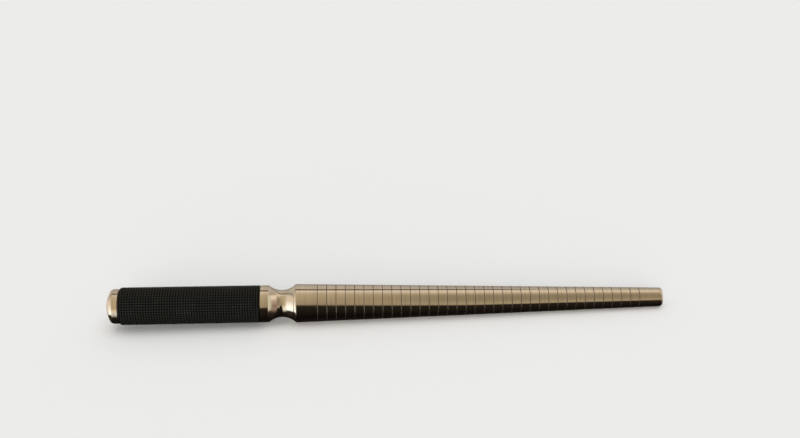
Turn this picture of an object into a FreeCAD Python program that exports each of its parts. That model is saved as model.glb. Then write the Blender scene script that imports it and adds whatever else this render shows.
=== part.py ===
import FreeCAD, Part
import math
import os

# Ring mandrel: a tapered, graduated steel stick with a scooped neck and collar, held in a black knurled
# grip sleeve that a domed end cap and a tie stud clamp against the collar.
#
# Frame: millimetres. X runs along the mandrel's axis towards the tip, Z is up. The origin is on the axis
# at the shoulder, where the measuring taper begins. The grip lies on the -X side.

# ---- Driving dimensions ------------------------------------------------------------------------------

# Ring sizes: size n has an inside circumference of (SIZE_ZERO_CIRCUMFERENCE + n) mm.
SIZE_COUNT = 36
SIZE_ZERO_CIRCUMFERENCE = 40.0
LINE_PITCH = 6.0
SHOULDER_TO_FIRST_LINE = 13.5     # shoulder to the line of the largest size
LAST_LINE_TO_TIP = 15.7           # line of size 1 to the tip's end face
LINE_WIDTH = 0.40
LINE_DEPTH = 0.20

TIP_EDGE_RADIUS = 1.4
CENTRE_MOUTH_RADIUS = 2.0         # lathe centre in the tip's end face
CENTRE_HALF_DEG = 30.0            # half angle of its cone
CENTRE_PILOT_RADIUS = 1.0
CENTRE_PILOT_DEPTH = 3.0          # beyond the cone

# Neck: a scooped cove that runs from the collar into the rounded shoulder.
SHOULDER_RADIUS = 2.0             # rounding of the taper's large end
COVE_RADIUS = 13.0
COVE_CENTRE_X = -9.6
NECK_RADIUS = 8.8                 # radius of the neck at the bottom of the cove
COLLAR_RADIUS = 11.95
COLLAR_REAR_X = -23.5             # the grip sleeve seats against this face
COLLAR_EDGE_RADIUS = 0.4
COLLAR_BEVEL = 0.3

# Handle: register spigots on the stick and on the cap centre the sleeve.
SPIGOT_RADIUS = 7.95
BODY_SPIGOT_LENGTH = 12.0
SPIGOT_CHAMFER = 0.6
GRIP_LENGTH = 90.0
GRIP_RADIUS = 12.2                # over the crests of the knurl
GRIP_BORE_RADIUS = 8.0
GRIP_CHAMFER = 0.6
BORE_CHAMFER = 0.4

WASHER_THICKNESS = 0.5
WASHER_RADIUS = 10.9
WASHER_HOLE_RADIUS = 8.1

CAP_RIM_RADIUS = 11.2
CAP_LENGTH = 8.5                  # joint face to the top of the dome
CAP_DOME_RADIUS = 20.0
CAP_CORNER_RADIUS = 3.0
CAP_BEVEL = 0.25
CAP_SPIGOT_LENGTH = 8.0

# Tie stud, nominal M8. Threads are plain cylinders at the nominal diameter.
TAPPED_RADIUS = 4.0
STUD_THREAD_RADIUS = 3.95
STUD_SHANK_RADIUS = 3.55
STUD_FRONT_THREAD = 20.0
STUD_REAR_THREAD = 12.0
STUD_CHAMFER = 0.8
STUD_END_GAP = 1.5                # between each end of the stud and the bottom of its hole
BODY_TAP_DEPTH = 21.0
CAP_TAP_DEPTH = 11.0
DRILL_POINT_DEG = 59.0            # half angle of the drill point at the bottom of a blind hole

# Dowel that stops the sleeve turning on the stick.
DOWEL_RADIUS = 1.24
DOWEL_HOLE_RADIUS = 1.25
DOWEL_SLOT_RADIUS = 1.35          # looser hole in the sleeve
DOWEL_CENTRE_R = 9.8
DOWEL_IN_BODY = 3.5
DOWEL_IN_GRIP = 4.0
DOWEL_END_GAP = 0.3
DOWEL_CHAMFER = 0.25

# ---- Positions that follow from them -----------------------------------------------------------------

X_AXIS = FreeCAD.Vector(1, 0, 0)
ON_AXIS = FreeCAD.Vector(0, 0, 0)

LAST_LINE_X = SHOULDER_TO_FIRST_LINE + (SIZE_COUNT - 1) * LINE_PITCH
TIP_X = LAST_LINE_X + LAST_LINE_TO_TIP
BODY_REAR_X = COLLAR_REAR_X - BODY_SPIGOT_LENGTH
GRIP_REAR_X = COLLAR_REAR_X - GRIP_LENGTH
CAP_JOINT_X = GRIP_REAR_X - WASHER_THICKNESS
CAP_APEX_X = CAP_JOINT_X - CAP_LENGTH
CAP_FRONT_X = CAP_JOINT_X + CAP_SPIGOT_LENGTH


def drill_point(radius):
    """Length of the cone that a drill leaves at the bottom of a blind hole of this radius."""
    return radius / math.tan(math.radians(DRILL_POINT_DEG))


def size_radius(size):
    """Radius of the mandrel at the line of a ring size."""
    return (SIZE_ZERO_CIRCUMFERENCE + size) / (2 * math.pi)


def line_x(size):
    """Position of a size's line: the largest size is nearest the shoulder."""
    return SHOULDER_TO_FIRST_LINE + (SIZE_COUNT - size) * LINE_PITCH


def taper_radius(x):
    """Radius of the measuring taper at a position along the axis."""
    slope = (size_radius(SIZE_COUNT) - size_radius(1)) / (line_x(1) - line_x(SIZE_COUNT))
    return size_radius(SIZE_COUNT) - slope * (x - line_x(SIZE_COUNT))


# ---- Outlines ----------------------------------------------------------------------------------------


class Outline:
    """An outline of lines and arcs in the half plane above the axis, spun into a solid."""

    def __init__(self, x, r):
        self.start = FreeCAD.Vector(x, 0, r)
        self.here = self.start
        self.edges = []

    def to(self, x, r):
        """A straight edge to (x, r)."""
        there = FreeCAD.Vector(x, 0, r)
        self.edges.append(Part.LineSegment(self.here, there).toShape())
        self.here = there

    def arc_to(self, x, r, centre_x, centre_r):
        """The shorter arc to (x, r) about a centre."""
        there = FreeCAD.Vector(x, 0, r)
        centre = FreeCAD.Vector(centre_x, 0, centre_r)
        radius = (there - centre).Length
        halfway = (self.here - centre) + (there - centre)
        middle = centre + halfway.normalize() * radius
        self.edges.append(Part.Arc(self.here, middle, there).toShape())
        self.here = there

    def spin(self):
        """Close the outline and turn it about the X axis."""
        self.to(self.start.x, self.start.z)
        face = Part.Face(Part.Wire(self.edges))
        return face.revolve(ON_AXIS, X_AXIS, 360)


def cylinder(radius, x_low, x_high, offset_z=0.0):
    """A cylinder along X between two positions."""
    base = FreeCAD.Vector(x_low, 0, offset_z)
    return Part.makeCylinder(radius, x_high - x_low, base, X_AXIS)


# ---- Pieces ------------------------------------------------------------------------------------------


def shoulder_root(cove_centre_r, shoulder_centre_r):
    """Where the cove runs into the shoulder's rounding: the rear one of the two circles' crossings."""
    apart_x = -COVE_CENTRE_X
    apart_r = shoulder_centre_r - cove_centre_r
    apart = math.hypot(apart_x, apart_r)
    along = (apart ** 2 + COVE_RADIUS ** 2 - SHOULDER_RADIUS ** 2) / (2 * apart)
    aside = math.sqrt(COVE_RADIUS ** 2 - along ** 2)
    x = COVE_CENTRE_X + (along * apart_x + aside * apart_r) / apart
    r = cove_centre_r + (along * apart_r - aside * apart_x) / apart
    return x, r


def add_neck(outline):
    """Collar, cove and rounded shoulder, from the collar's rear face to the shoulder."""
    cove_centre_r = NECK_RADIUS + COVE_RADIUS
    edge_centre_r = COLLAR_RADIUS - COLLAR_EDGE_RADIUS
    reach = COVE_RADIUS + COLLAR_EDGE_RADIUS
    drop = cove_centre_r - edge_centre_r
    edge_centre_x = COVE_CENTRE_X - math.sqrt(reach ** 2 - drop ** 2)
    share = COVE_RADIUS / reach
    meet_x = COVE_CENTRE_X + (edge_centre_x - COVE_CENTRE_X) * share
    meet_r = cove_centre_r - drop * share
    shoulder_centre_r = taper_radius(0) - SHOULDER_RADIUS
    root_x, root_r = shoulder_root(cove_centre_r, shoulder_centre_r)

    outline.to(COLLAR_REAR_X, COLLAR_RADIUS - COLLAR_BEVEL)
    outline.to(COLLAR_REAR_X + COLLAR_BEVEL, COLLAR_RADIUS)
    outline.to(edge_centre_x, COLLAR_RADIUS)
    outline.arc_to(meet_x, meet_r, edge_centre_x, edge_centre_r)
    outline.arc_to(root_x, root_r, COVE_CENTRE_X, cove_centre_r)
    outline.arc_to(0, taper_radius(0), 0, shoulder_centre_r)


def add_taper(outline):
    """The measuring taper with one V groove per size, the rounded tip edge and the tip's end face."""
    half = LINE_WIDTH / 2
    for size in range(SIZE_COUNT, 0, -1):
        x = line_x(size)
        outline.to(x - half, taper_radius(x - half))
        outline.to(x, size_radius(size) - LINE_DEPTH)
        outline.to(x + half, taper_radius(x + half))
    edge_x = TIP_X - TIP_EDGE_RADIUS
    edge_r = taper_radius(edge_x)
    outline.to(edge_x, edge_r)
    outline.arc_to(TIP_X, edge_r - TIP_EDGE_RADIUS, edge_x, edge_r - TIP_EDGE_RADIUS)


def mandrel_body():
    """The turned stick: spigot, collar, cove, shoulder, graduated taper and lathe centre."""
    outline = Outline(BODY_REAR_X, TAPPED_RADIUS)
    outline.to(BODY_REAR_X, SPIGOT_RADIUS - SPIGOT_CHAMFER)
    outline.to(BODY_REAR_X + SPIGOT_CHAMFER, SPIGOT_RADIUS)
    outline.to(COLLAR_REAR_X, SPIGOT_RADIUS)
    add_neck(outline)
    add_taper(outline)
    cone_length = (CENTRE_MOUTH_RADIUS - CENTRE_PILOT_RADIUS) / math.tan(math.radians(CENTRE_HALF_DEG))
    pilot_end_x = TIP_X - cone_length - CENTRE_PILOT_DEPTH
    outline.to(TIP_X, CENTRE_MOUTH_RADIUS)
    outline.to(TIP_X - cone_length, CENTRE_PILOT_RADIUS)
    outline.to(pilot_end_x, CENTRE_PILOT_RADIUS)
    outline.to(pilot_end_x - drill_point(CENTRE_PILOT_RADIUS), 0)
    tap_end_x = BODY_REAR_X + BODY_TAP_DEPTH
    outline.to(tap_end_x + drill_point(TAPPED_RADIUS), 0)
    outline.to(tap_end_x, TAPPED_RADIUS)
    dowel_hole = cylinder(
        DOWEL_HOLE_RADIUS, COLLAR_REAR_X, COLLAR_REAR_X + DOWEL_IN_BODY, DOWEL_CENTRE_R
    )
    return outline.spin().cut(dowel_hole)


def grip_sleeve():
    """The grip: a tube to the crests of its knurl, chamfered at both ends, with a hole for the dowel."""
    outline = Outline(GRIP_REAR_X, GRIP_BORE_RADIUS + BORE_CHAMFER)
    outline.to(GRIP_REAR_X, GRIP_RADIUS - GRIP_CHAMFER)
    outline.to(GRIP_REAR_X + GRIP_CHAMFER, GRIP_RADIUS)
    outline.to(COLLAR_REAR_X - GRIP_CHAMFER, GRIP_RADIUS)
    outline.to(COLLAR_REAR_X, GRIP_RADIUS - GRIP_CHAMFER)
    outline.to(COLLAR_REAR_X, GRIP_BORE_RADIUS + BORE_CHAMFER)
    outline.to(COLLAR_REAR_X - BORE_CHAMFER, GRIP_BORE_RADIUS)
    outline.to(GRIP_REAR_X + BORE_CHAMFER, GRIP_BORE_RADIUS)
    dowel_hole = cylinder(
        DOWEL_SLOT_RADIUS, COLLAR_REAR_X - DOWEL_IN_GRIP, COLLAR_REAR_X, DOWEL_CENTRE_R
    )
    return outline.spin().cut(dowel_hole)


def cap_washer():
    """Thin washer between the sleeve and the end cap."""
    outer = cylinder(WASHER_RADIUS, CAP_JOINT_X, GRIP_REAR_X)
    return outer.cut(cylinder(WASHER_HOLE_RADIUS, CAP_JOINT_X, GRIP_REAR_X))


def end_cap():
    """Domed end cap with a register spigot and a blind tapped hole."""
    dome_centre_x = CAP_APEX_X + CAP_DOME_RADIUS
    corner_centre_r = CAP_RIM_RADIUS - CAP_CORNER_RADIUS
    reach = CAP_DOME_RADIUS - CAP_CORNER_RADIUS
    corner_centre_x = dome_centre_x - math.sqrt(reach ** 2 - corner_centre_r ** 2)
    share = CAP_DOME_RADIUS / reach
    meet_x = dome_centre_x + (corner_centre_x - dome_centre_x) * share
    meet_r = corner_centre_r * share
    tap_end_x = CAP_FRONT_X - CAP_TAP_DEPTH

    outline = Outline(CAP_APEX_X, 0)
    outline.arc_to(meet_x, meet_r, dome_centre_x, 0)
    outline.arc_to(corner_centre_x, CAP_RIM_RADIUS, corner_centre_x, corner_centre_r)
    outline.to(CAP_JOINT_X - CAP_BEVEL, CAP_RIM_RADIUS)
    outline.to(CAP_JOINT_X, CAP_RIM_RADIUS - CAP_BEVEL)
    outline.to(CAP_JOINT_X, SPIGOT_RADIUS)
    outline.to(CAP_FRONT_X - SPIGOT_CHAMFER, SPIGOT_RADIUS)
    outline.to(CAP_FRONT_X, SPIGOT_RADIUS - SPIGOT_CHAMFER)
    outline.to(CAP_FRONT_X, TAPPED_RADIUS)
    outline.to(tap_end_x, TAPPED_RADIUS)
    outline.to(tap_end_x - drill_point(TAPPED_RADIUS), 0)
    return outline.spin()


def tie_stud():
    """Double-ended stud that draws the cap and the sleeve on to the stick."""
    front = BODY_REAR_X + BODY_TAP_DEPTH - STUD_END_GAP
    rear = CAP_FRONT_X - CAP_TAP_DEPTH + STUD_END_GAP
    step = STUD_THREAD_RADIUS - STUD_SHANK_RADIUS
    outline = Outline(rear, 0)
    outline.to(rear, STUD_THREAD_RADIUS - STUD_CHAMFER)
    outline.to(rear + STUD_CHAMFER, STUD_THREAD_RADIUS)
    outline.to(rear + STUD_REAR_THREAD, STUD_THREAD_RADIUS)
    outline.to(rear + STUD_REAR_THREAD + step, STUD_SHANK_RADIUS)
    outline.to(front - STUD_FRONT_THREAD - step, STUD_SHANK_RADIUS)
    outline.to(front - STUD_FRONT_THREAD, STUD_THREAD_RADIUS)
    outline.to(front - STUD_CHAMFER, STUD_THREAD_RADIUS)
    outline.to(front, STUD_THREAD_RADIUS - STUD_CHAMFER)
    outline.to(front, 0)
    return outline.spin()


def grip_dowel():
    """Chamfered dowel, half in the collar and half in the sleeve."""
    rear = COLLAR_REAR_X - DOWEL_IN_GRIP + DOWEL_END_GAP
    front = COLLAR_REAR_X + DOWEL_IN_BODY - DOWEL_END_GAP
    outline = Outline(rear, 0)
    outline.to(rear, DOWEL_RADIUS - DOWEL_CHAMFER)
    outline.to(rear + DOWEL_CHAMFER, DOWEL_RADIUS)
    outline.to(front - DOWEL_CHAMFER, DOWEL_RADIUS)
    outline.to(front, DOWEL_RADIUS - DOWEL_CHAMFER)
    outline.to(front, 0)
    dowel = outline.spin()
    dowel.translate(FreeCAD.Vector(0, 0, DOWEL_CENTRE_R))
    return dowel


PIECES = {
    "mandrel_body": mandrel_body,
    "grip_sleeve": grip_sleeve,
    "cap_washer": cap_washer,
    "end_cap": end_cap,
    "tie_stud": tie_stud,
    "grip_dowel": grip_dowel,
}

os.makedirs("parts", exist_ok=True)
for name, make in PIECES.items():
    make().exportStep(f"parts/{name}.step")
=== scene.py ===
import math
import random

import bmesh
import bpy
from mathutils import Matrix, Vector


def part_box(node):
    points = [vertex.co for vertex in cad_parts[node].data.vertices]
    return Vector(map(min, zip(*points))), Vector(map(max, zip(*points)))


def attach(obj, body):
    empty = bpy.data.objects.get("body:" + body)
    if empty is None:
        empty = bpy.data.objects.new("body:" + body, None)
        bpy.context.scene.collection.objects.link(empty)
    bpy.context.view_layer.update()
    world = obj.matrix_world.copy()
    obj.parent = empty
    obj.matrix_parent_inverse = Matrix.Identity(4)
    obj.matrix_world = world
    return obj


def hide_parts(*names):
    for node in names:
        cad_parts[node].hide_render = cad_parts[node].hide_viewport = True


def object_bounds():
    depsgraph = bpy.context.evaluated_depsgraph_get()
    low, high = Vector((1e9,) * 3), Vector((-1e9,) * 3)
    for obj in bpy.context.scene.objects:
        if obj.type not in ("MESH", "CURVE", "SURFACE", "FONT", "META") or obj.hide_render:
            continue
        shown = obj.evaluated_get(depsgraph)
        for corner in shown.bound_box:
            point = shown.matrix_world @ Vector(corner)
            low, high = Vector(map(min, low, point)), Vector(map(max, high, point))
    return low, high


# Looks of the ring mandrel: a polished plated stick with 36 engraved size lines, a black knurled grip and a
# domed end cap, lying on a plain pale floor. The mandrel's axis is the X axis and its tip points to +X.
# Lengths are millimetres and are turned into metres when a mesh is made. Angles round the axis start at the
# front (-Y) and turn upwards.

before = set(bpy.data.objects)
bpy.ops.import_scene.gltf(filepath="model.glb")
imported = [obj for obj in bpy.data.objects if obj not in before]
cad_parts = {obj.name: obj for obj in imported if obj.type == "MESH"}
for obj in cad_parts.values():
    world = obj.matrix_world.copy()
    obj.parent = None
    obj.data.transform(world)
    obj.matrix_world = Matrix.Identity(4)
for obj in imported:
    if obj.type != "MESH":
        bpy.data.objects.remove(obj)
cad_low, cad_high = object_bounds()

MM = 0.001

# ---- Places, from the frame --------------------------------------------------------------------------

body_low, body_high = (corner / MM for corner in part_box("mandrel_body"))
sleeve_low, sleeve_high = (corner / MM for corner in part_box("grip_sleeve"))
cap_low, cap_high = (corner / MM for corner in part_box("end_cap"))
dowel_low, dowel_high = (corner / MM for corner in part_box("grip_dowel"))

TIP_X = body_high.x
BODY_REAR_X = body_low.x
COLLAR_REAR_X = sleeve_high.x
GRIP_REAR_X = sleeve_low.x
CAP_APEX_X = cap_low.x
CAP_FRONT_X = cap_high.x
CAP_JOINT_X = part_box("cap_washer")[0].x / MM
CAP_RIM_RADIUS = cap_high.z
GRIP_RADIUS = sleeve_high.z
DOWEL_CENTRE_R = (dowel_low.z + dowel_high.z) / 2

# ---- Mandrel body ------------------------------------------------------------------------------------

SIZE_COUNT = 36
SIZE_ZERO_CIRCUMFERENCE = 40.0
LINE_PITCH = 6.0
FIRST_LINE_X = 13.5
LINE_HALF_WIDTH = 0.16            # at the bottom edge of the rounded lip
LINE_DEPTH = 0.20
LIP_LENGTH = 0.05
LIP_DROP = 0.02
GROOVE_MARK = 1.0                 # the mark that a material reads as the inside of a size line

TIP_EDGE_RADIUS = 1.4
CENTRE_MOUTH_RADIUS = 2.0
CENTRE_PILOT_RADIUS = 1.0
CENTRE_HALF_DEG = 30.0
CENTRE_PILOT_DEPTH = 3.0
DRILL_POINT_DEG = 59.0

SHOULDER_RADIUS = 2.0
COVE_RADIUS = 13.0
COVE_CENTRE_X = -9.6
NECK_RADIUS = 8.8
COLLAR_RADIUS = 11.95
COLLAR_EDGE_RADIUS = 0.4
COLLAR_BEVEL = 0.3

SPIGOT_RADIUS = 7.95
SPIGOT_CHAMFER = 0.6
TAPPED_RADIUS = 4.0
BODY_TAP_DEPTH = 21.0
BODY_DOWEL_HOLE_RADIUS = 1.25
BODY_DOWEL_HOLE_DEPTH = 3.5
CUT_OVERSHOOT = 1.0               # how far a cutter starts outside the face that it cuts

# ---- End cap -----------------------------------------------------------------------------------------

CAP_DOME_RADIUS = 20.0
CAP_CORNER_RADIUS = 3.0
CAP_BEVEL = 0.25
CAP_TAP_DEPTH = 11.0

# ---- Grip: a square knurl of rings and flutes --------------------------------------------------------

KNURL_PITCH = 1.70
KNURL_RINGS = 52
KNURL_FLUTES = 44
KNURL_DEPTH = 0.55
CREST_HALF = 0.165                # of a pitch: flat top of a knurl point
SHOULDER_HALF = 0.235             # of a pitch: where the rounded crest meets the flank
CREST_DROP = 0.05
CREST_WEAR = 0.03                 # how much lower the most worn point is
CREST_MARK = 1.0                  # marks that the grip's material reads, from 0 in the grooves
FLANK_MARK = 0.6
BEAD_MARK = 0.3
BAND_DROP = 0.22                  # the plain bead at each end lies this much below the crests
BAND_FLAT_END = 0.50
FLUTE_SPLIT = 4                   # columns of the smooth ends for each flute
GRIP_BORE_RADIUS = 8.0
BORE_CHAMFER = 0.4
SLEEVE_DOWEL_HOLE_RADIUS = 1.35
SLEEVE_DOWEL_HOLE_DEPTH = 4.0

# ---- Size numerals, round the back of the taper ------------------------------------------------------

NUMERAL_HEIGHT = 3.0
FONT_SIZE_PER_HEIGHT = 1.4        # Blender's own font: its size over the height of its digits
NUMERAL_ANGLE_DEG = 156.0
NUMERAL_PROUD = 0.012
NUMERAL_SUNK = 0.06
NUMERAL_GAP = 0.7                 # from the size line to the side of its numeral

# ---- Mesh fineness -----------------------------------------------------------------------------------

SEGMENTS = 216
HOLD = 0.06                       # points this near a straight's ends keep its shading flat
LONG_STRAIGHT = 4 * HOLD          # shorter straights go without them
ARC_STEP_DEG = 3.0
ARC_STEPS_LEAST = 4
DOWEL_HOLE_SEGMENTS = 48
SHARP_DEG = 25.0
SAME_POINT = 1e-6                 # metres
WEAR_SEED = 7

# ---- Camera ------------------------------------------------------------------------------------------

CAMERA_PLACE = (0.0383, -0.6567, 0.3601)      # metres
CAMERA_YAW_DEG = 2.49
CAMERA_DOWN_DEG = 24.6
CAMERA_ROLL_DEG = 0.185
CAMERA_LENS = 51.52
CAMERA_SENSOR = 36.0


def size_radius(size):
    """Radius of the mandrel at the line of a ring size."""
    return (SIZE_ZERO_CIRCUMFERENCE + size) / (2 * math.pi)


def line_x(size):
    """Position of a size's line: the largest size is nearest the shoulder."""
    return FIRST_LINE_X + (SIZE_COUNT - size) * LINE_PITCH


TAPER_SLOPE = (size_radius(SIZE_COUNT) - size_radius(1)) / (line_x(1) - line_x(SIZE_COUNT))


def taper_radius(x):
    """Radius of the measuring taper at a position along the axis."""
    return size_radius(SIZE_COUNT) - TAPER_SLOPE * (x - FIRST_LINE_X)


def drill_point(radius):
    """Length of the cone that a drill leaves at the bottom of a blind hole of this radius."""
    return radius / math.tan(math.radians(DRILL_POINT_DEG))


# ---- Meshes ------------------------------------------------------------------------------------------


def point_on_ring(x, radius, angle):
    """A point in metres; the angle starts at the front and turns upwards."""
    return Vector((x, -radius * math.cos(angle), radius * math.sin(angle))) * MM


def finish_mesh(name, shape):
    """Turn a bmesh into a shaded object: smooth, with its hard edges kept sharp."""
    bmesh.ops.recalc_face_normals(shape, faces=shape.faces)
    mesh = bpy.data.meshes.new(name)
    shape.to_mesh(mesh)
    shape.free()
    mesh.shade_smooth()
    mesh.set_sharp_from_angle(angle=math.radians(SHARP_DEG))
    piece = bpy.data.objects.new(name, mesh)
    bpy.context.scene.collection.objects.link(piece)
    return piece


class Profile:
    """A lathe outline of straights and arcs above the axis. Each point is (x, radius, mark)."""

    def __init__(self, x, radius):
        self.points = [(x, radius, 0.0)]

    def to(self, x, radius, mark=0.0):
        """Straight to (x, radius). A long straight gets a point near each end."""
        x0, radius0, mark0 = self.points[-1]
        length = math.hypot(x - x0, radius - radius0)
        if length > LONG_STRAIGHT:
            for share in (HOLD / length, 1 - HOLD / length):
                between = (x0 + (x - x0) * share, radius0 + (radius - radius0) * share, mark0)
                self.points.append(between)
        self.points.append((x, radius, mark))

    def arc_to(self, x, radius, centre_x, centre_r):
        """The shorter arc to (x, radius) about a centre."""
        x0, radius0, _ = self.points[-1]
        begin = math.atan2(radius0 - centre_r, x0 - centre_x)
        turn = math.atan2(radius - centre_r, x - centre_x) - begin
        turn = math.remainder(turn, 2 * math.pi)
        reach = math.hypot(x - centre_x, radius - centre_r)
        steps = max(ARC_STEPS_LEAST, math.ceil(abs(turn) / math.radians(ARC_STEP_DEG)))
        for step in range(1, steps + 1):
            angle = begin + turn * step / steps
            place = (centre_x + reach * math.cos(angle), centre_r + reach * math.sin(angle), 0.0)
            self.points.append(place)
        self.points[-1] = (x, radius, 0.0)

    def spin(self, name):
        """Turn the outline about the axis into a closed mesh; its two ends lie on the axis."""
        shape = bmesh.new()
        layer = shape.verts.layers.float.new("mark")
        rings = []
        for x, radius, mark in self.points:
            count = SEGMENTS if radius > 0 else 1
            ring = []
            for index in range(count):
                vert = shape.verts.new(point_on_ring(x, radius, 2 * math.pi * index / SEGMENTS))
                vert[layer] = mark
                ring.append(vert)
            rings.append(ring)
        for ring, following in zip(rings, rings[1:]):
            join_rings(shape, ring, following)
        return finish_mesh(name, shape)


def join_rings(shape, ring, following):
    """Faces between two rings of points; a ring of one point is a pole."""
    count = max(len(ring), len(following))
    for index in range(count):
        after = (index + 1) % count
        if len(ring) == 1:
            shape.faces.new((ring[0], following[after], following[index]))
        elif len(following) == 1:
            shape.faces.new((ring[index], ring[after], following[0]))
        else:
            shape.faces.new((ring[index], ring[after], following[after], following[index]))


def drill_dowel_hole(piece, radius, x_low, x_high):
    """Cut the dowel's hole in a piece."""
    shape = bmesh.new()
    placing = Matrix.Translation(Vector(((x_low + x_high) / 2, 0, DOWEL_CENTRE_R)) * MM)
    turning = Matrix.Rotation(math.pi / 2, 4, "Y")
    bmesh.ops.create_cone(
        shape, cap_ends=True, segments=DOWEL_HOLE_SEGMENTS, radius1=radius * MM,
        radius2=radius * MM, depth=(x_high - x_low) * MM, matrix=placing @ turning,
    )
    cutter = finish_mesh("dowel_cutter", shape)
    cut = piece.modifiers.new("dowel_hole", "BOOLEAN")
    cut.operation = "DIFFERENCE"
    cut.solver = "EXACT"
    cut.object = cutter
    bpy.context.view_layer.update()
    graph = bpy.context.evaluated_depsgraph_get()
    mesh = bpy.data.meshes.new_from_object(piece.evaluated_get(graph))
    piece.modifiers.clear()
    old = piece.data
    piece.data = mesh
    bpy.data.meshes.remove(old)
    bpy.data.objects.remove(cutter)
    mesh.name = piece.name
    mesh.set_sharp_from_angle(angle=math.radians(SHARP_DEG))


# ---- The plated stick --------------------------------------------------------------------------------


def add_size_lines(profile):
    """The taper, from the shoulder to the last line, with one V groove with rounded lips per size."""
    lip_reach = LINE_HALF_WIDTH + LIP_LENGTH
    for size in range(SIZE_COUNT, 0, -1):
        x = line_x(size)
        near_edge = x - LINE_HALF_WIDTH
        far_edge = x + LINE_HALF_WIDTH
        profile.to(x - lip_reach, taper_radius(x - lip_reach))
        profile.to(near_edge, taper_radius(near_edge) - LIP_DROP, GROOVE_MARK)
        profile.to(x, size_radius(size) - LINE_DEPTH, GROOVE_MARK)
        profile.to(far_edge, taper_radius(far_edge) - LIP_DROP, GROOVE_MARK)
        profile.to(x + lip_reach, taper_radius(x + lip_reach))


def shoulder_root(cove_centre_r, shoulder_centre_r):
    """Where the cove runs into the shoulder's rounding: the rear one of the two circles' crossings."""
    apart_x = -COVE_CENTRE_X
    apart_r = shoulder_centre_r - cove_centre_r
    apart = math.hypot(apart_x, apart_r)
    along = (apart ** 2 + COVE_RADIUS ** 2 - SHOULDER_RADIUS ** 2) / (2 * apart)
    aside = math.sqrt(COVE_RADIUS ** 2 - along ** 2)
    x = COVE_CENTRE_X + (along * apart_x + aside * apart_r) / apart
    r = cove_centre_r + (along * apart_r - aside * apart_x) / apart
    return x, r


def add_neck(profile):
    """Collar, cove and rounded shoulder, from the collar's rear face to the taper."""
    shoulder_centre_r = taper_radius(0) - SHOULDER_RADIUS
    cove_centre_r = NECK_RADIUS + COVE_RADIUS
    edge_centre_r = COLLAR_RADIUS - COLLAR_EDGE_RADIUS
    reach = COVE_RADIUS + COLLAR_EDGE_RADIUS
    drop = cove_centre_r - edge_centre_r
    edge_centre_x = COVE_CENTRE_X - math.sqrt(reach ** 2 - drop ** 2)
    share = COVE_RADIUS / reach
    meet_x = COVE_CENTRE_X + (edge_centre_x - COVE_CENTRE_X) * share
    meet_r = cove_centre_r - drop * share
    root_x, root_r = shoulder_root(cove_centre_r, shoulder_centre_r)

    profile.to(COLLAR_REAR_X, COLLAR_RADIUS - COLLAR_BEVEL)
    profile.to(COLLAR_REAR_X + COLLAR_BEVEL, COLLAR_RADIUS)
    profile.to(edge_centre_x, COLLAR_RADIUS)
    profile.arc_to(meet_x, meet_r, edge_centre_x, edge_centre_r)
    profile.arc_to(root_x, root_r, COVE_CENTRE_X, cove_centre_r)
    profile.arc_to(0, taper_radius(0), 0, shoulder_centre_r)


def mandrel_body():
    """The turned stick, from its tapped hole round the outside to the centre hole in its tip."""
    tap_end_x = BODY_REAR_X + BODY_TAP_DEPTH
    profile = Profile(tap_end_x + drill_point(TAPPED_RADIUS), 0)
    profile.to(tap_end_x, TAPPED_RADIUS)
    profile.to(BODY_REAR_X, TAPPED_RADIUS)
    profile.to(BODY_REAR_X, SPIGOT_RADIUS - SPIGOT_CHAMFER)
    profile.to(BODY_REAR_X + SPIGOT_CHAMFER, SPIGOT_RADIUS)
    profile.to(COLLAR_REAR_X, SPIGOT_RADIUS)
    add_neck(profile)
    add_size_lines(profile)
    edge_x = TIP_X - TIP_EDGE_RADIUS
    edge_centre_r = taper_radius(edge_x) - TIP_EDGE_RADIUS
    profile.to(edge_x, taper_radius(edge_x))
    profile.arc_to(TIP_X, edge_centre_r, edge_x, edge_centre_r)
    cone_length = (CENTRE_MOUTH_RADIUS - CENTRE_PILOT_RADIUS) / math.tan(math.radians(CENTRE_HALF_DEG))
    pilot_end_x = TIP_X - cone_length - CENTRE_PILOT_DEPTH
    profile.to(TIP_X, CENTRE_MOUTH_RADIUS)
    profile.to(TIP_X - cone_length, CENTRE_PILOT_RADIUS)
    profile.to(pilot_end_x, CENTRE_PILOT_RADIUS)
    profile.to(pilot_end_x - drill_point(CENTRE_PILOT_RADIUS), 0)
    piece = profile.spin("plated_stick")
    hole_end_x = COLLAR_REAR_X + BODY_DOWEL_HOLE_DEPTH
    drill_dowel_hole(piece, BODY_DOWEL_HOLE_RADIUS, COLLAR_REAR_X - CUT_OVERSHOOT, hole_end_x)
    return piece


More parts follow.
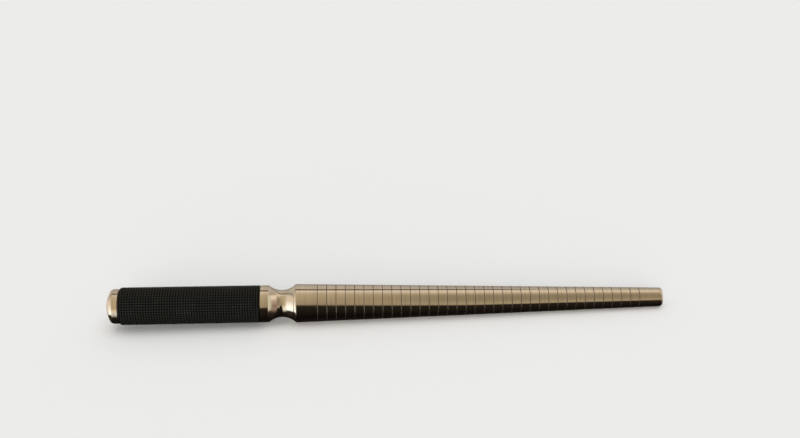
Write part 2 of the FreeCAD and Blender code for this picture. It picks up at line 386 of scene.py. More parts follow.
def end_cap():
    """Domed end cap with a register spigot and a blind tapped hole."""
    dome_centre_x = CAP_APEX_X + CAP_DOME_RADIUS
    corner_centre_r = CAP_RIM_RADIUS - CAP_CORNER_RADIUS
    reach = CAP_DOME_RADIUS - CAP_CORNER_RADIUS
    corner_centre_x = dome_centre_x - math.sqrt(reach ** 2 - corner_centre_r ** 2)
    share = CAP_DOME_RADIUS / reach
    meet_x = dome_centre_x + (corner_centre_x - dome_centre_x) * share
    tap_end_x = CAP_FRONT_X - CAP_TAP_DEPTH

    profile = Profile(CAP_APEX_X, 0)
    profile.arc_to(meet_x, corner_centre_r * share, dome_centre_x, 0)
    profile.arc_to(corner_centre_x, CAP_RIM_RADIUS, corner_centre_x, corner_centre_r)
    profile.to(CAP_JOINT_X - CAP_BEVEL, CAP_RIM_RADIUS)
    profile.to(CAP_JOINT_X, CAP_RIM_RADIUS - CAP_BEVEL)
    profile.to(CAP_JOINT_X, SPIGOT_RADIUS)
    profile.to(CAP_FRONT_X - SPIGOT_CHAMFER, SPIGOT_RADIUS)
    profile.to(CAP_FRONT_X, SPIGOT_RADIUS - SPIGOT_CHAMFER)
    profile.to(CAP_FRONT_X, TAPPED_RADIUS)
    profile.to(tap_end_x, TAPPED_RADIUS)
    profile.to(tap_end_x - drill_point(TAPPED_RADIUS), 0)
    return profile.spin("plated_cap")


# ---- The knurled grip --------------------------------------------------------------------------------


class Knurl:
    """The knurled sleeve as one closed mesh: a grid of blunt four-sided points between plain ends."""

    def __init__(self):
        self.shape = bmesh.new()
        self.layer = self.shape.verts.layers.float.new("mark")
        self.chance = random.Random(WEAR_SEED)
        self.start_x = (GRIP_REAR_X + COLLAR_REAR_X - KNURL_RINGS * KNURL_PITCH) / 2
        self.root = GRIP_RADIUS - KNURL_DEPTH

    def vert(self, x, radius, flute, mark=0.0):
        """A point at a position, a radius and an angle counted in flutes."""
        angle = 2 * math.pi * flute / KNURL_FLUTES
        vert = self.shape.verts.new(point_on_ring(x, radius, angle))
        vert[self.layer] = mark
        return vert

    def root_ring(self, ring):
        """The groove crossings of one ring groove; the two end grooves are split finer."""
        split = FLUTE_SPLIT if ring in (0, KNURL_RINGS) else 1
        x = self.start_x + ring * KNURL_PITCH
        return [self.vert(x, self.root, index / split) for index in range(KNURL_FLUTES * split)]

    def square(self, ring, flute, half, radius, mark):
        """The four corners of a knurl point at one height, in order round it."""
        x = self.start_x + (ring + 0.5) * KNURL_PITCH
        corners = ((-1, -1), (1, -1), (1, 1), (-1, 1))
        return [
            self.vert(x + along * half * KNURL_PITCH, radius, flute + 0.5 + across * half, mark)
            for along, across in corners
        ]

    def point(self, ring, flute, edges):
        """One knurl point. Edges are its four sides on the groove bottoms, in order round it."""
        top = GRIP_RADIUS - CREST_WEAR * self.chance.random() ** 2
        shoulder = self.square(ring, flute, SHOULDER_HALF, top - CREST_DROP, FLANK_MARK)
        crest = self.square(ring, flute, CREST_HALF, top, CREST_MARK)
        for side in range(4):
            after = (side + 1) % 4
            self.shape.faces.new((*edges[side], shoulder[after], shoulder[side]))
            self.shape.faces.new((shoulder[side], shoulder[after], crest[after], crest[side]))
        self.shape.faces.new(crest)

    def points(self, roots):
        """All the knurl points between the ring grooves."""
        for ring in range(KNURL_RINGS):
            for flute in range(KNURL_FLUTES):
                low = ring_side(roots[ring], flute)
                high = ring_side(roots[ring + 1], flute)
                edges = ((low[0], high[0]), high, (high[-1], low[-1]), low[::-1])
                self.point(ring, flute, edges)

    def end(self, roots, end_x, inward):
        """The plain bead, end face and bore chamfer of one end. Returns the ring at the bore."""
        band_radius = GRIP_RADIUS - BAND_DROP
        rise = band_radius - self.root
        groove_x = roots[0].co.x / MM
        outline = (
            (groove_x - inward * rise, band_radius),
            (groove_x - inward * BAND_FLAT_END, band_radius),
            (end_x, self.root),
            (end_x, GRIP_BORE_RADIUS + BORE_CHAMFER),
            (end_x + inward * BORE_CHAMFER, GRIP_BORE_RADIUS),
        )
        ring = roots
        count = KNURL_FLUTES * FLUTE_SPLIT
        for x, radius in outline:
            following = [self.vert(x, radius, index / FLUTE_SPLIT, BEAD_MARK) for index in range(count)]
            join_rings(self.shape, ring, following)
            ring = following
        return ring

    def build(self, name):
        """The whole sleeve: the knurl, both ends and the bore between them."""
        roots = [self.root_ring(ring) for ring in range(KNURL_RINGS + 1)]
        self.points(roots)
        rear_bore = self.end(roots[0], GRIP_REAR_X, 1)
        front_bore = self.end(roots[-1], COLLAR_REAR_X, -1)
        join_rings(self.shape, rear_bore, front_bore)
        return finish_mesh(name, self.shape)


def ring_side(ring, flute):
    """The points of a groove ring along one flute, both ends included."""
    split = len(ring) // KNURL_FLUTES
    return [ring[(flute * split + index) % len(ring)] for index in range(split + 1)]


def grip_sleeve():
    """The knurled sleeve with the dowel's hole in its front face."""
    piece = Knurl().build("knurled_grip")
    hole_end_x = COLLAR_REAR_X - SLEEVE_DOWEL_HOLE_DEPTH
    drill_dowel_hole(piece, SLEEVE_DOWEL_HOLE_RADIUS, hole_end_x, COLLAR_REAR_X + CUT_OVERSHOOT)
    return piece


# ---- Size numerals -----------------------------------------------------------------------------------


def numeral_mesh(size):
    """A flat solid of one numeral in the XY plane, reading along X."""
    curve = bpy.data.curves.new("numeral", "FONT")
    curve.body = str(size)
    curve.size = NUMERAL_HEIGHT * FONT_SIZE_PER_HEIGHT * MM
    curve.align_x = "LEFT"
    curve.extrude = (NUMERAL_PROUD + NUMERAL_SUNK) / 2 * MM
    holder = bpy.data.objects.new("numeral", curve)
    mesh = bpy.data.meshes.new_from_object(holder)
    bpy.data.objects.remove(holder)
    bpy.data.curves.remove(curve)
    return mesh


def size_numerals():
    """The numerals 1 to 36 beside their lines, wrapped on to the taper."""
    shape = bmesh.new()
    for size in range(1, SIZE_COUNT + 1):
        mesh = numeral_mesh(size)
        before = len(shape.verts)
        shape.from_mesh(mesh)
        bpy.data.meshes.remove(mesh)
        shape.verts.ensure_lookup_table()
        wrap_numeral(shape.verts[before:], line_x(size))
    bmesh.ops.remove_doubles(shape, verts=shape.verts, dist=SAME_POINT)
    return finish_mesh("size_numerals", shape)


def wrap_numeral(verts, x):
    """Bend one numeral round the taper beside its line, turned so that it reads round the back."""
    low = [min(vert.co[axis] for vert in verts) for axis in range(2)]
    high = [max(vert.co[axis] for vert in verts) for axis in range(2)]
    for vert in verts:
        along = (high[0] - vert.co.x) / MM
        up = (vert.co.y - (low[1] + high[1]) / 2) / MM
        out = vert.co.z / MM + (NUMERAL_PROUD - NUMERAL_SUNK) / 2
        place = x + NUMERAL_GAP + along
        radius = taper_radius(place)
        angle = math.radians(NUMERAL_ANGLE_DEG) - up / radius
        vert.co = point_on_ring(place, radius + out, angle)


# ---- Materials ---------------------------------------------------------------------------------------


class Nodes:
    """Adds nodes to one tree. An input's value is a number, a colour or another node's output."""

    def __init__(self, tree):
        self.tree = tree
        tree.nodes.clear()

    def add(self, kind, inputs, **settings):
        """A node of one kind with these inputs and settings."""
        node = self.tree.nodes.new(kind)
        for name, value in settings.items():
            setattr(node, name, value)
        for name, value in inputs.items():
            if isinstance(value, bpy.types.NodeSocket):
                self.tree.links.new(value, node.inputs[name])
            else:
                node.inputs[name].default_value = value
        return node

    def math(self, operation, first, second=0.0, clamp=False):
        """One sum on one or two values."""
        node = self.add("ShaderNodeMath", {0: first, 1: second}, operation=operation, use_clamp=clamp)
        return node.outputs[0]

    def between(self, value, low, high, to_low=0.0, to_high=1.0):
        """Value mapped smoothly from low..high to to_low..to_high."""
        inputs = {"Value": value, "From Min": low, "From Max": high, "To Min": to_low, "To Max": to_high}
        node = self.add("ShaderNodeMapRange", inputs, interpolation_type="SMOOTHSTEP")
        return node.outputs["Result"]

    def blend(self, share, first, second):
        """A colour between two colours, which are the Mix node's inputs 6 and 7 and its output 2."""
        node = self.add("ShaderNodeMix", {"Factor": share}, data_type="RGBA", blend_type="MIX")
        for socket, value in zip((node.inputs[6], node.inputs[7]), (first, second)):
            if isinstance(value, bpy.types.NodeSocket):
                self.tree.links.new(value, socket)
            else:
                socket.default_value = value
        return node.outputs[2]

    def noise(self, vector, scale, detail=4.0, roughness=0.6):
        """Fractal noise from 0 to 1. The scale is in features a metre."""
        inputs = {"Vector": vector, "Scale": scale, "Detail": detail, "Roughness": roughness}
        return self.add("ShaderNodeTexNoise", inputs).outputs["Fac"]

    def place(self):
        """The point's place in the frame, in metres."""
        return self.add("ShaderNodeTexCoord", {}).outputs["Object"]

    def stretched(self, vector, scale):
        """A place scaled along each axis, for noise at scale 1 that is drawn out round the axis."""
        inputs = {"Vector": vector, "Scale": scale}
        return self.add("ShaderNodeMapping", inputs).outputs["Vector"]

    def bump(self, height, distance_mm):
        """A normal from a height of 0 to 1 that stands for this many millimetres."""
        inputs = {"Height": height, "Distance": distance_mm * MM, "Strength": 1.0}
        return self.add("ShaderNodeBump", inputs).outputs["Normal"]

    def mark(self):
        """The mark that the mesh gives the point: 0 on a plain surface."""
        return self.add("ShaderNodeAttribute", {}, attribute_name="mark").outputs["Fac"]

    def surface(self, **inputs):
        """A Principled surface with these inputs, as the material's result."""
        named = {name.replace("_", " "): value for name, value in inputs.items()}
        shader = self.add("ShaderNodeBsdfPrincipled", named)
        self.add("ShaderNodeOutputMaterial", {"Surface": shader.outputs["BSDF"]})


def new_material(name):
    """A new material and its empty node tree."""
    material = bpy.data.materials.new(name)
    material.use_nodes = True
    return material, Nodes(material.node_tree)


def paint(piece, material):
    """Give a piece one material."""
    piece.data.materials.clear()
    piece.data.materials.append(material)


def grey(value):
    """A neutral colour."""
    return (value, value, value, 1.0)


# Each RANGE says where in a noise or a mark an effect sets in and where it is full.
NOISE_RANGE = (0.3, 0.7)

PLATE_LIGHT = (0.83, 0.79, 0.715, 1.0)
PLATE_DARK = (0.74, 0.69, 0.60, 1.0)
FINE_MARKS = (2600, 40, 40)       # features a metre along X, Y and Z: close together along the axis
WIDE_MARKS = (420, 26, 26)
FINE_SHARE = 0.6
STREAK_RANGE = (0.38, 0.62)
SMUDGE_SCALE = 55.0
SMUDGE_RANGE = (0.35, 0.75)
PLATE_ROUGHNESS = (0.03, 0.07)    # from clean to smudged
MARK_ROUGHNESS = 0.03             # added by the fine marks
MARK_HEIGHT = 0.004               # millimetres
PLATE_GLOSS = 0.5
# Painted shade: the size lines are painted dark, standing in for the shade in their hollows.
GROOVE_PAINTED_SHADE = (0.016, 0.011, 0.007, 1.0)
GROOVE_SHADE_RANGE = (0.1, 0.8)
GROOVE_SHADE_ROUGHNESS = 0.5              # added by the painted shade in a size line
GROOVE_SHADE_DULLING = 0.42               # gloss lost to it


def plated_metal(name):
    """Polished warm nickel plate: fine marks round the axis, faint smudges, painted shade in the size
    lines.
    """
    material, nodes = new_material(name)
    place = nodes.place()
    fine = nodes.noise(nodes.stretched(place, FINE_MARKS), 1.0, detail=6.0, roughness=0.7)
    wide = nodes.noise(nodes.stretched(place, WIDE_MARKS), 1.0, detail=3.0)
    smudge = nodes.noise(place, SMUDGE_SCALE, detail=3.0, roughness=0.55)
    fine_part = nodes.math("MULTIPLY", fine, FINE_SHARE)
    wide_part = nodes.math("MULTIPLY", wide, 1 - FINE_SHARE)
    streak = nodes.math("ADD", fine_part, wide_part)
    colour = nodes.blend(nodes.between(streak, *STREAK_RANGE), PLATE_DARK, PLATE_LIGHT)
    # Painted shade: inside the size lines the plate turns to a dark, non-metallic, rougher colour in place
    # of their shade.
    groove_shade = nodes.between(nodes.mark(), *GROOVE_SHADE_RANGE)
    colour = nodes.blend(groove_shade, colour, GROOVE_PAINTED_SHADE)
    rough = nodes.between(smudge, *SMUDGE_RANGE, *PLATE_ROUGHNESS)
    rough = nodes.math("ADD", rough, nodes.math("MULTIPLY", fine, MARK_ROUGHNESS))
    rough = nodes.math("ADD", rough, nodes.math("MULTIPLY", groove_shade, GROOVE_SHADE_ROUGHNESS))
    metallic = nodes.math("SUBTRACT", 1.0, groove_shade)
    gloss = nodes.math("SUBTRACT", PLATE_GLOSS, nodes.math("MULTIPLY", groove_shade, GROOVE_SHADE_DULLING))
    nodes.surface(Base_Color=colour, Metallic=metallic, Roughness=rough,
                  Normal=nodes.bump(streak, MARK_HEIGHT), Specular_IOR_Level=gloss)
    return material


ANODISED = (0.0036, 0.0038, 0.0032, 1.0)
ANODISED_CREST = (0.020, 0.0205, 0.0175, 1.0)
BARE_EDGE = (0.13, 0.125, 0.11, 1.0)
BARE_SHARE = 0.6                  # of BARE_EDGE in the most worn places
CREST_RANGE = (0.25, 1.0)
WORN_CREST_RANGE = (0.8, 1.0)
WORN_PATCH_RANGE = (0.52, 0.72)
WORN_GRAIN_RANGE = (0.4, 0.6)
ANODISED_ROUGHNESS = (0.36, 0.52)
ANODISED_GLOSS = 0.16
BLAST_SCALE = 2400.0              # features a metre of the blasted grain under the anodising
BLAST_HEIGHT = 0.012              # millimetres
PATCH_SCALE = 130.0


def black_grip():
    """Matt black anodised aluminium: worn and slightly greyer on the crests, darker in the grooves."""
    material, nodes = new_material("black_knurl")
    place = nodes.place()
    grain = nodes.noise(place, BLAST_SCALE, detail=5.0, roughness=0.7)
    patches = nodes.noise(place, PATCH_SCALE)
    height = nodes.mark()
    colour = nodes.blend(nodes.between(height, *CREST_RANGE), ANODISED, ANODISED_CREST)
    worn_crest = nodes.between(height, *WORN_CREST_RANGE)
    worn = nodes.math("MULTIPLY", worn_crest, nodes.between(patches, *WORN_PATCH_RANGE))
    worn = nodes.math("MULTIPLY", worn, nodes.between(grain, *WORN_GRAIN_RANGE), clamp=True)
    colour = nodes.blend(nodes.math("MULTIPLY", worn, BARE_SHARE), colour, BARE_EDGE)
    rough = nodes.between(patches, *NOISE_RANGE, *ANODISED_ROUGHNESS)
    nodes.surface(Base_Color=colour, Roughness=rough, Normal=nodes.bump(grain, BLAST_HEIGHT),
                  Specular_IOR_Level=ANODISED_GLOSS)
    return material


NYLON_DARK = 0.010
NYLON_LIGHT = 0.022
NYLON_ROUGHNESS = (0.5, 0.65)
NYLON_SCALE = 3000.0
NYLON_HEIGHT = 0.01               # millimetres


def washer_nylon():
    """Matt black nylon with a faint moulded grain."""
    material, nodes = new_material("washer_nylon")
    place = nodes.place()
    grain = nodes.noise(place, NYLON_SCALE)
    colour = nodes.blend(nodes.between(grain, *NOISE_RANGE), grey(NYLON_DARK), grey(NYLON_LIGHT))
    rough = nodes.between(grain, *NOISE_RANGE, *NYLON_ROUGHNESS)
    nodes.surface(Base_Color=colour, Roughness=rough, Normal=nodes.bump(grain, NYLON_HEIGHT))
    return material


STEEL_BRIGHT = 0.56
STEEL_STAINED = 0.44
STEEL_ROUGHNESS = (0.24, 0.38)
FEED_MARKS = (5200, 60, 60)
FEED_HEIGHT = 0.006               # millimetres
STAIN_SCALE = 240.0
STAIN_RANGE = (0.35, 0.7)


def plain_steel():
    """Plain turned steel with fine feed marks round its axis."""
    material, nodes = new_material("turned_steel")
    place = nodes.place()
    marks = nodes.noise(nodes.stretched(place, FEED_MARKS), 1.0)
    stain = nodes.noise(place, STAIN_SCALE)
    colour = nodes.blend(nodes.between(stain, *STAIN_RANGE), grey(STEEL_BRIGHT), grey(STEEL_STAINED))
    rough = nodes.between(marks, *NOISE_RANGE, *STEEL_ROUGHNESS)
    nodes.surface(Base_Color=colour, Metallic=1.0, Roughness=rough, Normal=nodes.bump(marks, FEED_HEIGHT))
    return material


INK_DARK = (0.020, 0.017, 0.014, 1.0)
INK_LIGHT = (0.06, 0.05, 0.04, 1.0)
INK_ROUGHNESS = (0.45, 0.65)
INK_SCALE = 4200.0
INK_HEIGHT = 0.004                # millimetres
INK_METALLIC = 0.2                # a little of the plate shows through


def numeral_ink():
    """Dark etched marking, slightly uneven."""
    material, nodes = new_material("etched_numerals")
    place = nodes.place()
    grain = nodes.noise(place, INK_SCALE)
    colour = nodes.blend(nodes.between(grain, *NOISE_RANGE), INK_DARK, INK_LIGHT)
    rough = nodes.between(grain, *NOISE_RANGE, *INK_ROUGHNESS)
    nodes.surface(Base_Color=colour, Metallic=INK_METALLIC, Roughness=rough,
                  Normal=nodes.bump(grain, INK_HEIGHT))
    return material


# ---- Studio ------------------------------------------------------------------------------------------

# Lengths here are metres.
FLOOR_HALF = 6.0
FLOOR_CELLS = 8
FLOOR_COLOUR = (0.86, 0.855, 0.84, 1.0)
BACKDROP_COLOUR = (0.838, 0.838, 0.827, 1.0)
FLOOR_FADE = (0.7, 2.2)           # from the origin: the floor fades into the backdrop
SHADE_BEHIND = (0.008, 0.035)     # how far behind the mandrel its mirrored shade reaches
SHADE_ENDS = (0.001, 0.006)       # how far past its ends
MIRRORED_SHADE = (0.010, 0.008, 0.007, 1.0)


def mirrored_floor(nodes, place):
    """What glossy rays see of the floor: a dark shade under and behind the mandrel, for rays that lead to
    the back. Everywhere else they pass through to the studio's light."""
    x, y, _ = nodes.add("ShaderNodeSeparateXYZ", {0: place}).outputs
    past_tip = nodes.math("SUBTRACT", x, cad_high.x)
    past_cap = nodes.math("SUBTRACT", cad_low.x, x)
    past_end = nodes.between(nodes.math("MAXIMUM", past_tip, past_cap), *SHADE_ENDS)
    ray_source = nodes.add("ShaderNodeNewGeometry", {}).outputs["Incoming"]
    ray_source_y = nodes.add("ShaderNodeSeparateXYZ", {0: ray_source}).outputs["Y"]
    leads_front = nodes.math("GREATER_THAN", ray_source_y, 0.0)
    open_floor = nodes.math("MAXIMUM", nodes.between(y, *SHADE_BEHIND), past_end)
    open_floor = nodes.math("MAXIMUM", open_floor, leads_front)
    shade = nodes.add("ShaderNodeEmission", {"Color": MIRRORED_SHADE}).outputs["Emission"]
    clear = nodes.add("ShaderNodeBsdfTransparent", {}).outputs["BSDF"]
    return nodes.add("ShaderNodeMixShader", {0: open_floor, 1: shade, 2: clear}).outputs["Shader"]


def lay_floor():
    """A plain pale floor that the mandrel lies on along the underside of its taper."""
    slope = math.atan(TAPER_SLOPE)
    touch = Vector((0, 0, -taper_radius(0) * MM))
    shape = bmesh.new()
    bmesh.ops.create_grid(shape, x_segments=FLOOR_CELLS, y_segments=FLOOR_CELLS, size=FLOOR_HALF)
    placing = Matrix.Translation(touch) @ Matrix.Rotation(-slope, 4, "Y")
    bmesh.ops.transform(shape, matrix=placing, verts=shape.verts)
    floor = finish_mesh("floor", shape)
    material, nodes = new_material("floor")
    place = nodes.place()
    matt = nodes.add("ShaderNodeBsdfDiffuse", {"Color": FLOOR_COLOUR}).outputs["BSDF"]
    mirrored = mirrored_floor(nodes, place)
    glossy = nodes.add("ShaderNodeLightPath", {}).outputs["Is Glossy Ray"]
    mixed = nodes.add("ShaderNodeMixShader", {0: glossy, 1: matt, 2: mirrored}).outputs["Shader"]
    away = nodes.add("ShaderNodeVectorMath", {0: place}, operation="LENGTH").outputs["Value"]
    clear = nodes.add("ShaderNodeBsdfTransparent", {}).outputs["BSDF"]
    faded = nodes.add("ShaderNodeMixShader", {0: nodes.between(away, *FLOOR_FADE), 1: mixed, 2: clear})
    nodes.add("ShaderNodeOutputMaterial", {"Surface": faded.outputs["Shader"]})
    paint(floor, material)


# What polished metal mirrors, by the angle round the mandrel's axis: -90 is the back, 0 is straight up,
# 90 is the front and 180 is straight down. Each stop is an angle, a brightness and a tint. The first two
# lights end at the front and are dark below it.
GREY_TINT = (1.0, 0.88, 0.74)
CREAM_TINT = (1.0, 0.82, 0.63)
SAND_TINT = (1.0, 0.79, 0.50)
WHITE_TINT = (1.0, 0.95, 0.82)
GLARE_TINT = (1.0, 1.03, 0.98)
UMBER_TINT = (1.0, 0.70, 0.53)

SHOULDER_LIGHT = (
    (-180, 0.34, GREY_TINT), (-90, 0.36, GREY_TINT), (-57, 0.54, GREY_TINT), (-37, 0.61, CREAM_TINT),
    (-33, 0.58, CREAM_TINT), (-25, 0.42, CREAM_TINT), (-20, 0.54, CREAM_TINT), (-13, 0.88, CREAM_TINT),
    (-4, 0.62, CREAM_TINT), (9, 0.54, SAND_TINT), (34, 0.46, SAND_TINT), (63, 0.39, SAND_TINT),
    (69, 0.34, SAND_TINT), (75, 0.024, UMBER_TINT), (115, 0.014, UMBER_TINT), (150, 0.006, UMBER_TINT),
    (180, 0.005, UMBER_TINT),
)
TIP_LIGHT = (
    (-180, 0.36, GREY_TINT), (-90, 0.36, GREY_TINT), (-65, 0.42, GREY_TINT), (-38, 0.53, GREY_TINT),
    (-24, 0.74, CREAM_TINT), (-11, 0.86, CREAM_TINT), (-2, 0.68, CREAM_TINT), (13, 0.36, SAND_TINT),
    (24, 0.31, SAND_TINT), (40, 0.32, SAND_TINT), (55, 0.42, SAND_TINT), (69, 0.42, SAND_TINT),
    (75, 0.024, UMBER_TINT), (115, 0.014, UMBER_TINT), (150, 0.006, UMBER_TINT), (180, 0.005, UMBER_TINT),
)
CAP_SIDE_LIGHT = (
    (-180, 0.34, GREY_TINT), (-90, 0.40, GREY_TINT), (-45, 0.50, GREY_TINT), (-36, 0.48, CREAM_TINT),
    (-32, 0.20, CREAM_TINT), (-25, 0.20, CREAM_TINT), (-21, 0.50, CREAM_TINT), (-14, 0.74, CREAM_TINT),
    (-6, 0.60, CREAM_TINT), (15, 0.56, SAND_TINT), (64, 0.57, SAND_TINT), (72, 0.54, SAND_TINT),
    (82, 0.70, SAND_TINT), (95, 1.00, CREAM_TINT), (110, 1.00, WHITE_TINT), (126, 0.68, WHITE_TINT),
    (134, 0.28, WHITE_TINT), (141, 0.03, UMBER_TINT), (180, 0.006, UMBER_TINT),
)
CAP_END_LIGHT = (
    (-180, 1.15, GLARE_TINT), (-140, 1.05, WHITE_TINT), (-118, 0.86, CREAM_TINT), (-100, 0.76, CREAM_TINT),
    (-70, 0.58, GREY_TINT), (-42, 0.54, GREY_TINT), (-33, 0.34, GREY_TINT), (-26, 0.34, CREAM_TINT),
    (-16, 0.68, CREAM_TINT), (0, 0.82, CREAM_TINT), (38, 0.88, CREAM_TINT), (53, 0.96, WHITE_TINT),
    (68, 1.12, WHITE_TINT), (80, 1.28, WHITE_TINT), (98, 1.38, GLARE_TINT), (140, 1.36, GLARE_TINT),
    (180, 1.15, GLARE_TINT),
)
TIP_END_LIGHT = (
    (-180, 0.03, UMBER_TINT), (-152, 0.06, GREY_TINT), (-136, 0.45, GREY_TINT), (-118, 0.60, GREY_TINT),
    (-75, 0.54, GREY_TINT), (-42, 0.54, GREY_TINT), (-31, 0.48, CREAM_TINT), (-24, 0.48, CREAM_TINT),
    (-12, 0.78, CREAM_TINT), (0, 0.96, CREAM_TINT), (16, 0.92, CREAM_TINT), (30, 0.70, CREAM_TINT),
    (44, 0.54, UMBER_TINT), (64, 0.44, UMBER_TINT), (80, 0.31, UMBER_TINT), (98, 0.38, UMBER_TINT),
    (112, 0.36, UMBER_TINT), (122, 0.25, UMBER_TINT), (132, 0.13, UMBER_TINT), (147, 0.03, UMBER_TINT),
    (180, 0.02, UMBER_TINT),
)

# A thin dark gap between two of the lights behind. X and Z are parts of a light's direction.
GAP_LIGHT = (0.035, 0.023, 0.017, 1.0)
GAP_DEG = -29.0                   # its middle, straight behind
GAP_LEAN_DEG = -24.0              # how far it leans back for each unit of X
GAP_HALF_DEG = (2.2, 3.4)         # half its width: dark inside, clear outside
GAP_GROWTH_DEG = 9.0              # how much that grows for each unit of X
GAP_END = (0.15, 0.21)            # X where it fades out

# Straight out beyond either end: light above these heights Z and dark floor below them.
BEYOND_TIP_LIGHT = (0.70, 0.64, 0.50, 1.0)
BEYOND_TIP_FLOOR = (0.05, 0.045, 0.035, 1.0)
BEYOND_TIP_Z = (-0.50, -0.25)
BEYOND_CAP_LIGHT = (0.98, 0.86, 0.70, 1.0)
BEYOND_CAP_FLOOR = (0.04, 0.03, 0.02, 1.0)
BEYOND_CAP_Z = (-0.54, -0.44)

# Where along X each of these takes over from the one before.
TIP_LIGHT_SPAN = (0.0, 0.16)
CAP_SIDE_SPAN = (-0.11, -0.24)
CAP_END_SPAN = (-0.34, -0.60)
TIP_END_SPAN = (0.30, 0.39)
BEYOND_TIP_SPAN = (0.70, 0.92)
BEYOND_CAP_SPAN = (-0.89, -0.98)
FRONT_EDGE_DEG = 75.0             # where the light in front ends and the dark below it begins
EDGE_SHIFT_DEG = 190.0            # how much lower that edge lies for each unit of X, either way
EDGE_SHIFT_LIMIT = 0.15           # X beyond which it stays level
SOFT_LIGHT = (0.60, 0.605, 0.61, 1.0)


def ramp(nodes, angle, stops):
    """A colour ramp over angles from -180 to 180 degrees."""
    share = nodes.math("DIVIDE", nodes.math("ADD", angle, math.pi), 2 * math.pi)
    node = nodes.add("ShaderNodeValToRGB", {"Fac": share})
    elements = node.color_ramp.elements
    for index, (degrees, brightness, tint) in enumerate(stops):
        place = (degrees + 180) / 360
        element = elements[index] if index < 2 else elements.new(place)
        element.position = place
        element.color = (*(brightness * part for part in tint), 1.0)
    return node.outputs["Color"]


def dark_gap(nodes, angle, x):
    """How far a direction lies outside the dark gap: 0 is in it, 1 is clear of it."""
    middle = nodes.math("ADD", nodes.math("MULTIPLY", x, math.radians(GAP_LEAN_DEG)), math.radians(GAP_DEG))
    off = nodes.math("ABSOLUTE", nodes.math("SUBTRACT", angle, middle))
    growth = nodes.math("MULTIPLY", nodes.math("ABSOLUTE", x), math.radians(GAP_GROWTH_DEG))
    off = nodes.math("SUBTRACT", off, growth)
    inner, outer = (math.radians(half) for half in GAP_HALF_DEG)
    return nodes.math("MAXIMUM", nodes.between(off, inner, outer), nodes.between(x, *GAP_END))


def mirror_light(nodes):
    """The light that glossy rays see: a soft studio gradient round the axis, with bright ends."""
    towards = nodes.add("ShaderNodeTexCoord", {}).outputs["Generated"]
    x, y, z = nodes.add("ShaderNodeSeparateXYZ", {0: towards}).outputs
    angle = nodes.math("ARCTAN2", nodes.math("MULTIPLY", y, -1.0), z)
    front = nodes.math("DIVIDE", angle, math.radians(FRONT_EDGE_DEG), clamp=True)
    aside = nodes.math("MINIMUM", nodes.math("ABSOLUTE", x), EDGE_SHIFT_LIMIT)
    lean = nodes.math("MULTIPLY", aside, front)
    shifted = nodes.math("SUBTRACT", angle, nodes.math("MULTIPLY", lean, math.radians(EDGE_SHIFT_DEG)))
    colour = nodes.blend(nodes.between(x, *TIP_LIGHT_SPAN),
                         ramp(nodes, shifted, SHOULDER_LIGHT), ramp(nodes, shifted, TIP_LIGHT))
    colour = nodes.blend(dark_gap(nodes, angle, x), GAP_LIGHT, colour)
    colour = nodes.blend(nodes.between(x, *CAP_SIDE_SPAN), colour, ramp(nodes, angle, CAP_SIDE_LIGHT))
    open_air = nodes.between(z, *BEYOND_CAP_Z)
    cap_end = nodes.blend(open_air, BEYOND_CAP_FLOOR, ramp(nodes, angle, CAP_END_LIGHT))
    colour = nodes.blend(nodes.between(x, *CAP_END_SPAN), colour, cap_end)
    colour = nodes.blend(nodes.between(x, *TIP_END_SPAN), colour, ramp(nodes, angle, TIP_END_LIGHT))
    past_tip = nodes.blend(nodes.between(z, *BEYOND_TIP_Z), BEYOND_TIP_FLOOR, BEYOND_TIP_LIGHT)
    past_cap = nodes.blend(open_air, BEYOND_CAP_FLOOR, BEYOND_CAP_LIGHT)
    colour = nodes.blend(nodes.between(x, *BEYOND_TIP_SPAN), colour, past_tip)
    return nodes.blend(nodes.between(x, *BEYOND_CAP_SPAN), colour, past_cap)


def light_world():
    """A pale backdrop for the camera, soft white light for matt surfaces, the studio gradient for mirrored
    ones."""
    world = bpy.data.worlds.new("studio")
    world.use_nodes = True
    world.cycles.sampling_method = "NONE"
    nodes = Nodes(world.node_tree)
    ray = nodes.add("ShaderNodeLightPath", {}).outputs
    colour = nodes.blend(ray["Is Glossy Ray"], SOFT_LIGHT, mirror_light(nodes))
    colour = nodes.blend(ray["Is Camera Ray"], colour, BACKDROP_COLOUR)
    background = nodes.add("ShaderNodeBackground", {"Color": colour, "Strength": 1.0})
    nodes.add("ShaderNodeOutputWorld", {"Surface": background.outputs["Background"]})
    bpy.context.scene.world = world


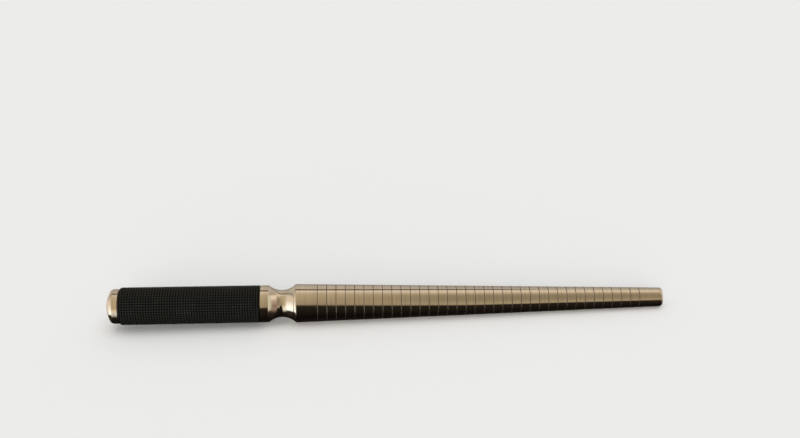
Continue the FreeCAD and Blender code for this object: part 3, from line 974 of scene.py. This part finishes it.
def soft_lamp(name, *, place, spread_deg, strength):
    """A wide, soft, distant light from a direction, which matt surfaces see and mirrored ones don't."""
    light = bpy.data.lights.new(name, "SUN")
    light.angle = math.radians(spread_deg)
    light.energy = strength
    lamp = bpy.data.objects.new(name, light)
    lamp.location = place
    lamp.rotation_euler = Vector(place).to_track_quat("Z", "Y").to_euler()
    lamp.visible_glossy = False
    bpy.context.scene.collection.objects.link(lamp)


def set_camera():
    """The camera looks down on the mandrel's front from a little towards its tip."""
    yaw = math.radians(CAMERA_YAW_DEG)
    down = math.radians(CAMERA_DOWN_DEG)
    ahead = Vector((math.sin(yaw) * math.cos(down), math.cos(yaw) * math.cos(down), -math.sin(down)))
    right = ahead.cross(Vector((0, 0, 1))).normalized()
    turn = Matrix.Rotation(-math.radians(CAMERA_ROLL_DEG), 3, ahead)
    right = turn @ right
    up = right.cross(ahead)
    data = bpy.data.cameras.new("camera")
    data.lens = CAMERA_LENS
    data.sensor_width = CAMERA_SENSOR
    camera = bpy.data.objects.new("camera", data)
    turning = Matrix((right, up, -ahead)).transposed().to_4x4()
    camera.matrix_world = Matrix.Translation(CAMERA_PLACE) @ turning
    bpy.context.scene.collection.objects.link(camera)
    bpy.context.scene.camera = camera


# ---- Put together ------------------------------------------------------------------------------------


def place_piece(piece, material, node=None):
    """Paint a piece, let it ride on the mandrel and stand for its CAD node."""
    paint(piece, material)
    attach(piece, "root")
    if node:
        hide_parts(node)


plate = plated_metal("nickel_plate")
place_piece(mandrel_body(), plate, "mandrel_body")
place_piece(end_cap(), plate, "end_cap")
place_piece(grip_sleeve(), black_grip(), "grip_sleeve")
place_piece(size_numerals(), numeral_ink())

steel = plain_steel()
paint(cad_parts["cap_washer"], washer_nylon())
paint(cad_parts["tie_stud"], steel)
paint(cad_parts["grip_dowel"], steel)

lay_floor()
light_world()
soft_lamp("front_light", place=(-0.2, -1.9, 0.42), spread_deg=40.0, strength=2.0)
soft_lamp("top_light", place=(0.1, -0.3, 1.6), spread_deg=60.0, strength=0.75)
set_camera()
bpy.context.scene.view_settings.view_transform = "Standard"
